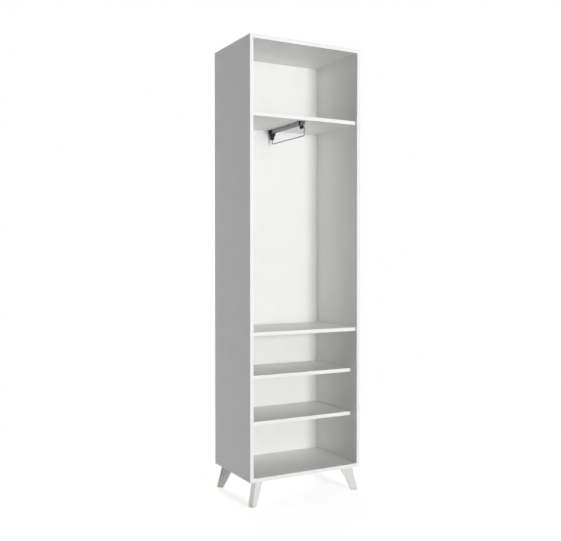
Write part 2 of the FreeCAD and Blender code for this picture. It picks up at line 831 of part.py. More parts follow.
def groove(name, low, high):
    """The groove for the back panel, between two corners in X and Z."""
    behind = back_front + dim.back_thickness + dim.groove_play
    return box(name, (low[0], back_front - dim.groove_play, low[1]), (high[0], behind, high[1]))


def side_board(label, sign):
    name = f"Side{sign + 1}"
    depth = dim.groove_depth
    faces = (-half, -inner) if sign < 0 else (inner, half)
    slot = (-inner - depth, -inner + PAST) if sign < 0 else (inner - PAST, inner + depth)
    board = box(name, (faces[0], front + dim.band, bottom_top), (faces[1], rear, top_under))
    back_groove = groove(f"{name}Groove", (slot[0], bottom_top - PAST), (slot[1], top_under + PAST))
    piece(cut(f"{name}Cut", board, [back_groove] + top_holes + bottom_holes + side_holes), label)


def end_board(label, low, high, slot_low, slot_high, holes):
    """The top or bottom board, which runs over the sides' ends."""
    side = half - dim.band
    slot_half = inner + dim.groove_depth
    board = box(f"{label}Board", (-side, front + dim.band, low), (side, rear, high))
    back_groove = groove(f"{label}Groove", (-slot_half, slot_low), (slot_half, slot_high))
    piece(cut(f"{label}Cut", board, [back_groove] + holes), label)


def fixed_shelf(label, under, extra_holes):
    bores, cam_holes = shelf_holes[label]
    top = under + dim.board
    board = box(f"{label}Board", (-inner, fixed_front + dim.band, under), (inner, fixed_rear, top))
    bored = cut(f"{label}Bored", board, bores + extra_holes)
    piece(cut(f"{label}Cut", bored, cam_holes), label)


def loose_shelf(label, under):
    side = inner - dim.loose_end_gap
    front_edge = loose_front + dim.band
    piece(box(f"{label}Board", (-side, front_edge, under), (side, loose_rear, under + dim.board)), label)


side_board("left_side_panel", -1)
side_board("right_side_panel", 1)
end_board("top_panel", top_under, carcass_top, top_under - PAST, top_under + dim.groove_depth, top_holes)
end_board("bottom_panel", carcass_bottom, bottom_top, bottom_top - dim.groove_depth, bottom_top + PAST,
          bottom_holes + leg_holes)
fixed_shelf("upper_shelf", upper_under, [rail_screw_holes])
fixed_shelf("middle_shelf", middle_under, [])
loose_shelf("loose_shelf_upper", loose_shelf_under)
loose_shelf("loose_shelf_lower", lower_shelf_under)
back_reach = dim.groove_depth - dim.back_edge_play
piece(box("BackPanel", (-inner - back_reach, back_front, bottom_top - back_reach),
          (inner + back_reach, back_front + dim.back_thickness, top_under + back_reach)), "back_panel")


# Edge bands: strips glued on the edges that show, with their outer corners eased

def band_outline(low, high, outer, glued):
    """The section of a strip: from low to high along the edge, and from its outer face to the glued one."""
    ease = dim.band_round
    inward = 1 if glued.value > outer.value else -1
    step = inward * ease
    return [
        (glued, low), (outer + step, low, (outer + step, low + ease, ease)),
        (outer, low + ease), (outer, high - ease, (outer + step, high - ease, ease)),
        (outer + step, high), (glued, high),
    ]


def front_band(name, reach, front_edge, under, open_ends=False):
    """Along the front edge of a board that lies flat. Its ends are rounded where they are open to view."""
    body = new_body(name)
    glued = front_edge + dim.band
    section = drawing(body, "YZ_Plane")
    outline(section, band_outline(under, under + dim.board, front_edge, glued))
    strip = pad(body, section, 2 * reach, symmetric=True)
    if open_ends:
        fillet(body, strip, dim.band_corner,
               lambda edge: edge.BoundBox.XLength < NEAR and edge.BoundBox.YMin < glued.value - NEAR)
    return body


def end_band(name, sign, under):
    """Along the end of the top or bottom board."""
    body = new_body(name)
    outer = sign * half
    glued = sign * (half - dim.band)
    run_along_y(body, band_outline(under, under + dim.board, outer, glued), front + dim.band, rear)
    return body


def side_band(label, sign):
    """Up the front edge of a side board."""
    body = new_body(f"{label}Band")
    section = drawing(body, "XY_Plane", bottom_top)
    low, high = (-half, -inner) if sign < 0 else (inner, half)
    corners = band_outline(low, high, front, front + dim.band)
    flipped = [(corner[1], corner[0]) + tuple((turn[1], turn[0], turn[2]) for turn in corner[2:])
               for corner in corners]
    outline(section, flipped)
    pad(body, section, top_under - bottom_top)
    piece(body, label)


def end_board_bands(label, under):
    strips = [front_band(f"{label}Front", half, front, under, open_ends=True)]
    strips += [end_band(f"{label}End{sign + 1}", sign, under) for sign in (-1, 1)]
    piece(group(f"{label}Strips", strips), label)


side_band("left_side_edge_band", -1)
side_band("right_side_edge_band", 1)
end_board_bands("top_panel_edge_bands", top_under)
end_board_bands("bottom_panel_edge_bands", carcass_bottom)
for shelf_label, shelf_reach, shelf_front, shelf_under in (
    ("upper_shelf", inner, fixed_front, upper_under),
    ("middle_shelf", inner, fixed_front, middle_under),
    ("loose_shelf_upper", inner - dim.loose_end_gap, loose_front, loose_shelf_under),
    ("loose_shelf_lower", inner - dim.loose_end_gap, loose_front, lower_shelf_under),
):
    strip = front_band(f"{shelf_label}Band", shelf_reach, shelf_front, shelf_under)
    piece(strip, f"{shelf_label}_edge_band")


# Pull-out rail: the fixed channel and its brackets

def mirrored(corners):
    """A symmetric outline from its right half, which runs from the middle line to the middle line."""
    left = []
    for index in range(len(corners) - 1, -1, -1):
        corner = corners[index]
        before = corners[index - 1] if index else ()
        arc = tuple((-turn[0], turn[1], turn[2]) for turn in before[2:])
        left.append((-corner[0], corner[1]) + arc)
    return corners + left


def rail_channel():
    """A rolled section, open below, whose walls bulge out round the ball races."""
    body = rail_body("RailChannel")
    outer_rise = root(bulge_radius * bulge_radius
                      - (channel_outside - dim.ball_offset) * (channel_outside - dim.ball_offset))
    inner_rise = root(race_radius * race_radius - dim.ball_to_wall * dim.ball_to_wall)
    run_along_y(body, mirrored([
        (channel_outside, channel_top),
        (channel_outside, race_z + outer_rise, (dim.ball_offset, race_z, bulge_radius)),
        (channel_outside, race_z - outer_rise),
        (channel_outside, channel_bottom),
        (channel_inside, channel_bottom),
        (channel_inside, race_z - inner_rise, (dim.ball_offset, race_z, race_radius)),
        (channel_inside, race_z + inner_rise),
        (channel_inside, web_under),
    ]), rail_front, rail_rear)
    stop = drawing(body, "XZ_Plane", -(rail_front + dim.stop_length))
    rectangle(stop, -dim.stop_width / 2, cage_under, dim.stop_width / 2, web_under)
    pad(body, stop, dim.stop_length)
    piece(body, "rail_channel")


def clip_outline(ears):
    """A clip round the channel, whose flange lies against the shelf and may have ears for screws."""
    ear = dim.bracket_half_width
    lip_end = clip_inside - dim.bracket_lip_reach
    flange = [(clip_outside, sized(0))]
    if ears:
        flange = [(ear, sized(0)), (ear, channel_top), (clip_outside, channel_top)]
    return mirrored(flange + [
        (clip_outside, lip_bottom), (lip_end, lip_bottom), (lip_end, lip_top),
        (clip_inside, lip_top), (clip_inside, channel_top),
    ])


def screw_seats(body, spots):
    """Countersunk holes in a bracket's flange."""
    shank = dim.rail_screw_radius + dim.fit_play
    head = dim.rail_screw_head_radius + dim.fit_play
    head_top = dim.rail_screw_head - dim.rail_flange
    for x, y in spots:
        for radius, top, depth in ((shank, 0, dim.rail_flange), (head, head_top, dim.rail_screw_head)):
            seat = drawing(body, "XY_Plane", top)
            circle(seat, x, y, radius)
            pocket(body, seat, depth)


def rail_front_bracket():
    body = rail_body("RailFrontBracket")
    clip = run_along_y(body, clip_outline(ears=True), rail_front, rail_front + dim.bracket_length)
    reach = dim.bracket_half_width.value
    fillet(body, clip, dim.bracket_round, lambda edge: (
        edge.BoundBox.ZLength > NEAR
        and edge.BoundBox.YLength < NEAR
        and abs(edge.BoundBox.XMin) > reach - NEAR
    ))
    screw_seats(body, rail_screw_spots[:2])
    piece(body, "rail_front_bracket")


def rail_rear_bracket():
    """A clip on the channel's rear end, and a block behind it that stops the bar."""
    body = rail_body("RailRearBracket")
    run_along_y(body, clip_outline(ears=False), rail_rear - dim.block_clip, rail_rear)
    block = drawing(body, "XZ_Plane", -(rail_rear + dim.block_length))
    rectangle(block, -clip_outside, channel_bottom, clip_outside, sized(0))
    pad(body, block, dim.block_length)
    wells = drawing(body, "XY_Plane", channel_bottom)
    for x, y in rail_screw_spots[2:]:
        circle(wells, x, y, dim.block_pocket_radius)
    pocket(body, wells, dim.channel_height, reverse=True)
    screw_seats(body, rail_screw_spots[2:])
    piece(body, "rail_rear_bracket")


rail_channel()
rail_front_bracket()
rail_rear_bracket()


# Pull-out rail: the ball cage and its balls, which roll half as far as the bar slides

def rail_ball_cage():
    body = rail_body("RailBallCage")
    wall_out = dim.ball_offset + dim.cage_wall / 2
    wall_in = wall_out - dim.cage_wall
    cage_foot = cage_under - dim.cage_drop
    run_along_y(body, mirrored([
        (wall_out, cage_top), (wall_out, cage_foot), (wall_in, cage_foot), (wall_in, cage_under),
    ]), cage_front, cage_rear)
    holes = drawing(body, "YZ_Plane")
    for y in ball_line:
        circle(holes, y, race_z, dim.ball_radius + dim.ball_hole_play)
    pocket(body, holes, 2 * wall_out + PAST, symmetric=True)
    piece(body, "rail_ball_cage")


def rail_balls():
    balls = []
    for sign in (-1, 1):
        for y in ball_line:
            ball = doc.addObject("Part::Sphere", "RailBall")
            bind(ball, "Radius", dim.ball_radius)
            for axis, size in zip("xyz", (sign * dim.ball_offset, y, upper_under + race_z)):
                bind(ball, f"Placement.Base.{axis}", size)
            balls.append(ball)
    piece(group("RailBalls", balls), "rail_balls")


ball_count = int(dim.ball_count.value)
ball_line = [(cage_front + cage_rear) / 2 + (index - (ball_count - 1) / 2) * dim.ball_pitch
             for index in range(ball_count)]
rail_ball_cage()
rail_balls()


# Pull-out rail: what slides

def rail_slide_bar():
    """A rolled section, open above, with a race in each side and an ear on each wall that ends the travel."""
    body = rail_body("RailSlideBar")
    bulge = race_radius + dim.bar_wall
    outer_rise = root(race_radius * race_radius - dim.ball_to_wall * dim.ball_to_wall)
    inner_rise = root(bulge * bulge - (dim.ball_offset - bar_inside) * (dim.ball_offset - bar_inside))
    floor = bar_bottom + dim.bar_wall
    run_along_y(body, mirrored([
        (bar_inside, floor),
        (bar_inside, race_z - inner_rise, (dim.ball_offset, race_z, bulge)),
        (bar_inside, race_z + inner_rise),
        (bar_inside, bar_top),
        (bar_outside, bar_top),
        (bar_outside, race_z + outer_rise, (dim.ball_offset, race_z, race_radius)),
        (bar_outside, race_z - outer_rise),
        (bar_outside, bar_bottom),
    ]), bar_front, bar_rear)
    ears = drawing(body, "XZ_Plane", -bar_rear)
    for sign in (-1, 1):
        low, high = (bar_inside, bar_outside) if sign > 0 else (-bar_outside, -bar_inside)
        rectangle(ears, low, bar_top, high, cage_top)
    pad(body, ears, dim.stop_length)
    holes = drawing(body, "XY_Plane", bar_bottom)
    for y in (front_screw, rear_screw):
        circle(holes, 0, y, dim.carrier_screw_radius + dim.fit_play)
    pocket(body, holes, 4 * dim.bar_wall, symmetric=True)
    piece(body, "rail_slide_bar")


def screw_bore(body, y):
    """The hole for a carrier's screw, down from the bar."""
    hole = drawing(body, "XY_Plane", bar_bottom)
    circle(hole, 0, y, dim.carrier_screw_radius + dim.fit_play)
    pocket(body, hole, dim.carrier_screw_length + dim.end_play - dim.bar_wall)


def rail_front_carrier():
    """A round boss on a neck under the bar's front end. The rod's upper end is in the boss."""
    body = rail_body("RailFrontCarrier")
    boss_z = -dim.front_boss_drop
    radius = dim.front_boss_radius
    neck = dim.carrier_neck
    boss = (0, boss_z, radius)
    shoulder = boss_z + root(radius * radius - neck * neck)
    keyhole = run_along_y(body, [
        (neck, bar_bottom), (neck, shoulder, boss), (0, boss_z - radius, boss),
        (-neck, shoulder), (-neck, bar_bottom),
    ], bar_front, bar_front + dim.front_boss_length)
    lowest = shoulder.value
    fillet(body, keyhole, dim.carrier_round,
           lambda edge: edge.BoundBox.YLength < NEAR and edge.BoundBox.ZMax < lowest + NEAR)
    socket = drawing(body, "XZ_Plane", -bar_front)
    circle(socket, 0, boss_z, dim.rod_radius + dim.fit_play)
    pocket(body, socket, dim.rod_socket)
    screw_bore(body, front_screw)
    piece(body, "rail_front_carrier")


def rail_rear_carrier():
    """A stepped block under the bar's rear end, with the rod's rear end in its foot."""
    body = rail_body("RailRearCarrier")
    shoulder = lip_bottom - dim.rear_carrier_gap
    waist = -dim.rear_carrier_waist
    foot = -dim.rear_carrier_drop
    low_front = carrier_front + dim.rear_carrier_low_front
    low_rear = carrier_rear - dim.rear_carrier_low_rear
    upper = drawing(body, "YZ_Plane")
    outline(upper, [
        (carrier_front, shoulder), (carrier_front, waist + dim.rear_carrier_slope), (low_front, waist),
        (low_rear, waist), (carrier_rear, waist + dim.rear_carrier_slope), (carrier_rear, shoulder),
    ])
    pad(body, upper, 2 * dim.rear_carrier_half, symmetric=True)
    lower = drawing(body, "YZ_Plane")
    rectangle(lower, low_front, foot, low_rear, waist)
    block = pad(body, lower, 2 * dim.rear_carrier_low_half, symmetric=True)
    lowest = waist.value
    fillet(body, block, dim.carrier_round,
           lambda edge: edge.BoundBox.ZMax < lowest + NEAR and edge.BoundBox.ZMin < lowest - NEAR)
    neck = drawing(body, "YZ_Plane")
    rectangle(neck, carrier_front, shoulder, bar_rear, bar_bottom)
    pad(body, neck, 2 * dim.carrier_neck, symmetric=True)
    socket = drawing(body, "XY_Plane", foot)
    circle(socket, 0, rod_rear, dim.rod_radius + dim.fit_play)
    pocket(body, socket, dim.rod_socket, reverse=True)
    screw_bore(body, rear_screw)
    piece(body, "rail_rear_carrier")


def rail_carrier_screws():
    """Screws down through the bar into the two carriers, with their heads inside the bar."""
    floor = upper_under + bar_bottom + dim.bar_wall
    screw = turned("CarrierScrew", [
        (0, dim.carrier_screw_head), (dim.carrier_screw_head_radius, dim.carrier_screw_head),
        (dim.carrier_screw_head_radius, 0), (dim.carrier_screw_radius, 0),
        (dim.carrier_screw_radius, -dim.carrier_screw_length), (0, -dim.carrier_screw_length),
    ])
    places = [(0, y, floor, UPRIGHT) for y in (front_screw, rear_screw)]
    piece(copies("CarrierScrews", screw, places), "rail_carrier_screws")


def hanger_rod():
    """A bent wire: back into the front boss, down, along under the rail, and up into the rear carrier."""
    body = rail_body("HangerRod")
    bend = dim.rod_bend
    high = -dim.front_boss_drop
    low = -dim.rod_drop
    start = bar_front + dim.rod_socket - dim.end_play
    end = -dim.rear_carrier_drop + dim.rod_socket - dim.end_play
    route = drawing(body, "YZ_Plane")
    outline(route, [
        (start, high),
        (rod_front + bend, high, (rod_front + bend, high - bend, bend)),
        (rod_front, high - bend),
        (rod_front, low + bend, (rod_front + bend, low + bend, bend)),
        (rod_front + bend, low),
        (rod_rear - bend, low, (rod_rear - bend, low + bend, bend)),
        (rod_rear, low + bend),
        (rod_rear, end),
    ], closed=False)
    section = drawing(body, "XZ_Plane", -start)
    circle(section, 0, high, dim.rod_radius)
    wire = body.newObject("PartDesign::AdditivePipe", "HangerRodPipe")
    wire.Profile = section
    wire.Spine = (route, [])
    piece(body, "hanger_rod")


rail_slide_bar()
rail_front_carrier()
rail_rear_carrier()
rail_carrier_screws()
hanger_rod()

# Everything is worked out and checked before any file is written
doc.recompute()
failed = [thing.Label for thing in doc.Objects if {"Invalid", "Error"} & set(thing.State)]
failed += [thing.Label for thing in pieces if thing.Shape.isNull() or not thing.Shape.isValid()]
if failed:
    raise SystemExit(f"failed: {failed}")
os.makedirs("parts", exist_ok=True)
for thing in pieces:
    thing.Shape.exportStep(f"parts/{thing.Label}.step")
print(f"{len(pieces)} sub-parts, rail travel {travel.value:.2f} mm")
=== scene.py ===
import json
import math

import bpy
from mathutils import Euler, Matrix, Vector


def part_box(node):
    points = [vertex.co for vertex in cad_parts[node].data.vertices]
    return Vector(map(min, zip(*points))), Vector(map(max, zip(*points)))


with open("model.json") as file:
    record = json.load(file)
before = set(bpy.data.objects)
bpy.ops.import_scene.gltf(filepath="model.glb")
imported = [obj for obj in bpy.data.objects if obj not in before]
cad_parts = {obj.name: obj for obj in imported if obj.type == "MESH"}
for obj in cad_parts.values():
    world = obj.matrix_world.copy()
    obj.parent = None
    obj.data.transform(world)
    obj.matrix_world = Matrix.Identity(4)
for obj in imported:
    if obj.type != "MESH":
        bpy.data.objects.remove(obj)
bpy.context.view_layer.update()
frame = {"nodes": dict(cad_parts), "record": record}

# The open wardrobe unit's finishes, and the studio that it stands in. Metres, +Z up, the open front faces -Y.

# Camera, at the viewing angle of the picture: from the left of the front, a little above half height
CAMERA_PLACE = (-1.6396, -2.9416, 1.0139)
CAMERA_YAW = math.radians(-28.653)
CAMERA_PITCH = math.radians(-1.025)
CAMERA_LENS = 49.63
CAMERA_SENSOR = 36.0

# Light: a weak even surround and large soft panels
SURROUND = 0.06
PANELS = {
    "front_light": dict(place=(0.6, -8.0, 1.2), size=(2.2, 1.9), power=412.0, aim=(0.0, 0.0, 0.95)),
    "high_light": dict(place=(0.6, -4.0, 2.8), size=(2.6, 1.6), power=22.0, aim=(0.0, 0.0, 0.8)),
    "left_light": dict(place=(-3.6, 1.3, 1.4), size=(2.2, 2.6), power=26.0, aim=(-0.2, 0.0, 0.9)),
    "rear_light": dict(place=(1.2, 4.2, 2.2), size=(2.6, 2.6), power=62.0, aim=(0.0, 0.2, 0.9)),
    "top_light": dict(place=(0.2, 0.2, 4.2), size=(1.6, 1.6), power=22.0, aim=(0.2, 0.2, 0.0)),
}

# Floor: its half width, how white it is where no shadow falls, and where it runs out into the white surround
FLOOR_REACH = 40.0
FLOOR_SOLID = 0.6
FLOOR_FADE = 2.0
FLOOR_COLOUR = (0.80, 0.80, 0.80, 1)
FLOOR_LIFT = 0.66
FLOOR_ROUGHNESS = 0.8
FLOOR_SPECULAR = 0.2
WHITE = (1, 1, 1, 1)

# Edge bands: how thick they are, how long the streaks along them are, and the line of glue behind them
BAND_THICKNESS = 0.002
BAND_STREAK = 0.02
GLUE_THICKNESS = 0.00014
GLUE_FADE = GLUE_THICKNESS / 4

# Roughness: of raw board, what wear adds to a wire's, and how far a grain moves that of moulded plastic
CORE_ROUGHNESS = 0.9
HARDBOARD_ROUGHNESS = 0.75
WIRE_WEAR = 0.16
GRAIN_SPREAD = 0.06

# Relief: of hardboard's fibres beside its lacquer, and of wood's fibres beside its pores
HARDBOARD_FIBRE_RELIEF = 2.0
WOOD_FIBRE_RELIEF = 0.5

# Legs: the middle of the right rear leg's top and the way down to its foot, which the other legs mirror.
# The heart of the trunk lies beside each leg, so that the year rings cut its faces in long arches
LEG_TOP = Vector((0.2145, 0.138, 0.103))
LEG_RUN = Vector((0.0335, 0.0195, -0.102))
LEG_HEARTS = {
    "leg_front_left": (0.030, 0.046, 0.0),
    "leg_front_right": (-0.034, 0.040, 0.0),
    "leg_rear_left": (0.026, -0.048, 0.0),
    "leg_rear_right": (-0.040, -0.036, 0.0),
}
LEG_HEART_TILT = (0.055, -0.075, 0)
RING_WANDER = 5.0
RING_SHARE = 0.9
SCUFF_HEIGHT = 0.012
SCUFF_SHARE = 0.45

# Where most of a noise lies
NOISE_LOW = 0.3
NOISE_HIGH = 0.7

# Finishes, as linear colours
BOARD_LIGHT = (0.872, 0.872, 0.865, 1)
BOARD_SHADE = (0.856, 0.856, 0.849, 1)
BACK_LIGHT = (0.828, 0.828, 0.822, 1)
BACK_SHADE = (0.812, 0.812, 0.806, 1)
BAND_LIGHT = (0.890, 0.890, 0.885, 1)
BAND_SHADE = (0.865, 0.865, 0.860, 1)
GLUE = (0.50, 0.47, 0.42, 1)
CHIP_LIGHT = (0.63, 0.48, 0.31, 1)
CHIP_DARK = (0.33, 0.22, 0.12, 1)
HARDBOARD_LIGHT = (0.40, 0.27, 0.16, 1)
HARDBOARD_DARK = (0.27, 0.17, 0.095, 1)
WOOD_LIGHT = (0.90, 0.89, 0.865, 1)
WOOD_RING = (0.73, 0.71, 0.67, 1)
WOOD_PORE = (0.55, 0.525, 0.485, 1)
BEECH_LIGHT = (0.72, 0.53, 0.35, 1)
BEECH_DARK = (0.58, 0.40, 0.25, 1)
ZINC = (0.62, 0.63, 0.64, 1)
ZINC_DULL = (0.47, 0.48, 0.49, 1)
STEEL = (0.40, 0.407, 0.42, 1)
STEEL_DULL = (0.28, 0.286, 0.298, 1)
CHROME = (0.30, 0.304, 0.312, 1)
BLACK = (0.009, 0.009, 0.0095, 1)
BLACK_WORN = (0.018, 0.018, 0.019, 1)
CAP_WHITE = (0.86, 0.86, 0.85, 1)
CAP_SHADE = (0.82, 0.82, 0.81, 1)
GLIDE_GREY = (0.36, 0.36, 0.36, 1)
GLIDE_SCUFF = (0.25, 0.245, 0.24, 1)


class Nodes:
    """A node tree, with short calls that add nodes and feed them."""

    def __init__(self, tree):
        self.tree = tree

    def feed(self, socket, value):
        if isinstance(value, bpy.types.NodeSocket):
            self.tree.links.new(value, socket)
        else:
            socket.default_value = value

    def node(self, kind, inputs, **settings):
        made = self.tree.nodes.new(kind)
        for setting, value in settings.items():
            setattr(made, setting, value)
        for socket, value in inputs.items():
            self.feed(made.inputs[socket], value)
        return made

    def calculate(self, operation, first, second=0.0):
        return self.node("ShaderNodeMath", {0: first, 1: second}, operation=operation).outputs[0]

    def ramp(self, value, low, high, to_low=0.0, to_high=1.0, curve="LINEAR"):
        """The value's place between low and high, as a number between the other two."""
        return self.node("ShaderNodeMapRange", {0: value, 1: low, 2: high, 3: to_low, 4: to_high},
                         interpolation_type=curve).outputs[0]

    def seen_directly(self):
        """One for rays that show a thing or its mirror image, and zero for rays that light other things."""
        path = self.node("ShaderNodeLightPath", {}).outputs
        mirrored = self.calculate("MAXIMUM", path["Is Glossy Ray"], path["Is Transmission Ray"])
        return self.calculate("MAXIMUM", path["Is Camera Ray"], mirrored)


class Finish(Nodes):
    """A material with one principled surface, and short calls for the patterns on it."""

    def __init__(self, name, metallic=0.0, specular=0.5):
        self.material = bpy.data.materials.new(name)
        self.material.use_nodes = True
        super().__init__(self.material.node_tree)
        self.surface = self.tree.nodes["Principled BSDF"]
        self.coordinates = self.node("ShaderNodeTexCoord", {}).outputs
        self.set("Metallic", metallic)
        self.set("Specular IOR Level", specular)

    def set(self, socket, value):
        self.feed(self.surface.inputs[socket], value)

    def stretched(self, vector, stretch):
        return self.node("ShaderNodeVectorMath", {0: vector, 1: stretch}, operation="MULTIPLY").outputs[0]

    def places(self, stretch=(1, 1, 1)):
        """The piece's own coordinates, in metres, with more or less of the pattern along each axis."""
        return self.stretched(self.coordinates["Object"], stretch)

    def turned(self, vector, origin, turn):
        """Coordinates counted from another origin, along axes with a turn of their own."""
        mapping = self.node("ShaderNodeMapping", {0: vector, 1: origin, 2: turn}, vector_type="TEXTURE")
        return mapping.outputs[0]

    def split(self, vector):
        return self.node("ShaderNodeSeparateXYZ", {0: vector}).outputs

    def facing_rear(self, low, high):
        """How far the surface faces the rear."""
        return self.ramp(self.split(self.coordinates["Normal"])["Y"], low, high)

    def noise(self, vector, scale, detail=2.0, roughness=0.5):
        return self.node("ShaderNodeTexNoise", {
            "Vector": vector, "Scale": scale, "Detail": detail, "Roughness": roughness,
        }).outputs["Fac"]

    def roughness(self, pattern, smooth, coarse):
        """A roughness that follows a noise."""
        return self.ramp(pattern, NOISE_LOW, NOISE_HIGH, smooth, coarse)

    def blend(self, share, first, second):
        return self.node("ShaderNodeMix", {0: share, 6: first, 7: second}, data_type="RGBA").outputs[2]

    def mixed(self, first, second, share):
        """The first value, with that share of the second in it."""
        rest = self.calculate("MULTIPLY", first, 1.0 - share)
        return self.calculate("ADD", rest, self.calculate("MULTIPLY", second, share))

    def relief(self, height, depth, strength=0.5):
        """Surface relief of that depth in metres."""
        bump = self.node("ShaderNodeBump", {"Height": height, "Distance": depth, "Strength": strength})
        self.set("Normal", bump.outputs[0])


# Boards

def chipboard(finish):
    """The raw core of a board: pressed chips, lighter and darker, with dark gaps between them."""
    chips = finish.node("ShaderNodeTexVoronoi", {"Vector": finish.places(stretch=(1, 1, 1.8)), "Scale": 340})
    shade = finish.node("ShaderNodeSeparateColor", {0: chips.outputs["Color"]}).outputs[0]
    tone = finish.blend(finish.ramp(shade, low=0.1, high=0.9), CHIP_DARK, CHIP_LIGHT)
    gaps = finish.ramp(finish.noise(finish.places(), scale=900, detail=3), low=0.60, high=0.72)
    return finish.blend(gaps, tone, CHIP_DARK)


def melamine():
    """White faced board: faintly mottled, with a fine pearl texture. The rear edges are raw."""
    finish = Finish("white_melamine", specular=0.45)
    places = finish.places()
    mottle = finish.noise(places, scale=14, detail=4, roughness=0.6)
    face = finish.blend(finish.ramp(mottle, low=0.35, high=0.65), BOARD_LIGHT, BOARD_SHADE)
    raw = finish.facing_rear(low=0.6, high=0.8)
    finish.set("Base Color", finish.blend(raw, face, chipboard(finish)))
    pearl = finish.noise(places, scale=1300)
    satin = finish.roughness(pearl, smooth=0.40, coarse=0.52)
    rough = finish.calculate("MULTIPLY", raw, CORE_ROUGHNESS)
    finish.set("Roughness", finish.calculate("MAXIMUM", satin, rough))
    finish.relief(pearl, depth=0.00003)
    return finish.material


def lacquered_back():
    """Thin hardboard: white lacquer on the inside, and the raw brown fibres behind."""
    finish = Finish("lacquered_hardboard", specular=0.22)
    places = finish.places()
    mottle = finish.noise(places, scale=11, detail=4, roughness=0.6)
    face = finish.blend(finish.ramp(mottle, low=0.35, high=0.65), BACK_LIGHT, BACK_SHADE)
    fibres = finish.noise(finish.places(stretch=(1, 1, 0.55)), scale=420, detail=5, roughness=0.7)
    clouds = finish.noise(places, scale=22, detail=4, roughness=0.65)
    weave = finish.ramp(finish.mixed(fibres, clouds, share=0.3), low=0.38, high=0.62)
    rear = finish.facing_rear(low=0.3, high=0.7)
    finish.set("Base Color", finish.blend(rear, face, finish.blend(weave, HARDBOARD_DARK, HARDBOARD_LIGHT)))
    peel = finish.noise(places, scale=700)
    satin = finish.roughness(peel, smooth=0.55, coarse=0.65)
    rough = finish.calculate("MULTIPLY", rear, HARDBOARD_ROUGHNESS)
    finish.set("Roughness", finish.calculate("MAXIMUM", satin, rough))
    bare_fibres = finish.calculate("MULTIPLY", fibres, rear)
    hairy = finish.calculate("MULTIPLY", bare_fibres, HARDBOARD_FIBRE_RELIEF)
    finish.relief(finish.calculate("ADD", peel, hairy), depth=0.00004)
    return finish.material


def glue_share(finish, distance):
    """One in the line of glue, by the distance from the band's outer face, and zero elsewhere."""
    start = BAND_THICKNESS - GLUE_THICKNESS
    in_glue = finish.ramp(distance, low=start, high=start + GLUE_FADE)
    return finish.calculate("MULTIPLY", in_glue, finish.calculate("LESS_THAN", distance, BAND_THICKNESS))


def edge_band(node):
    """White plastic band, drawn lengthwise, with a hairline of glue where it meets the board."""
    low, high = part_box(node)
    finish = Finish(f"{node}_finish", specular=0.4)
    position = finish.split(finish.coordinates["Object"])
    glue = glue_share(finish, finish.calculate("SUBTRACT", position["Y"], low.y))
    has_end_strips = high.y - low.y > 2 * BAND_THICKNESS
    if has_end_strips:
        from_end = finish.calculate("SUBTRACT", high.x, finish.calculate("ABSOLUTE", position["X"]))
        glue = finish.calculate("MAXIMUM", glue, glue_share(finish, from_end))
    long_axis = max(range(3), key=lambda axis: high[axis] - low[axis])
    stretch = [1.0, 1.0, 1.0]
    stretch[long_axis] = BAND_STREAK
    streaks = finish.noise(finish.places(stretch), scale=1500)
    tone = finish.blend(finish.ramp(streaks, NOISE_LOW, NOISE_HIGH), BAND_LIGHT, BAND_SHADE)
    finish.set("Base Color", finish.blend(glue, tone, GLUE))
    finish.set("Roughness", finish.roughness(streaks, smooth=0.40, coarse=0.50))
    finish.relief(streaks, depth=0.00002, strength=0.4)
    return finish.material


# Wood

def leg_line(node):
    """The middle of the leg's top, and the way down from it to the foot."""
    middle = sum(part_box(node), Vector()) / 2
    corner = Vector((math.copysign(1, middle.x), math.copysign(1, middle.y), 1))
    return corner * LEG_TOP, corner * LEG_RUN


def year_rings(finish, leg, heart, wander):
    """Rings round the heart of the trunk, which grow dark slowly and end at once."""
    return finish.node("ShaderNodeTexWave", {
        "Vector": finish.turned(leg, heart, LEG_HEART_TILT), "Scale": 62.0, "Distortion": 2.6,
        "Detail": 2.0, "Detail Scale": 0.7, "Phase Offset": finish.calculate("MULTIPLY", wander, RING_WANDER),
    }, wave_type="RINGS", rings_direction="Z", wave_profile="SAW").outputs["Fac"]


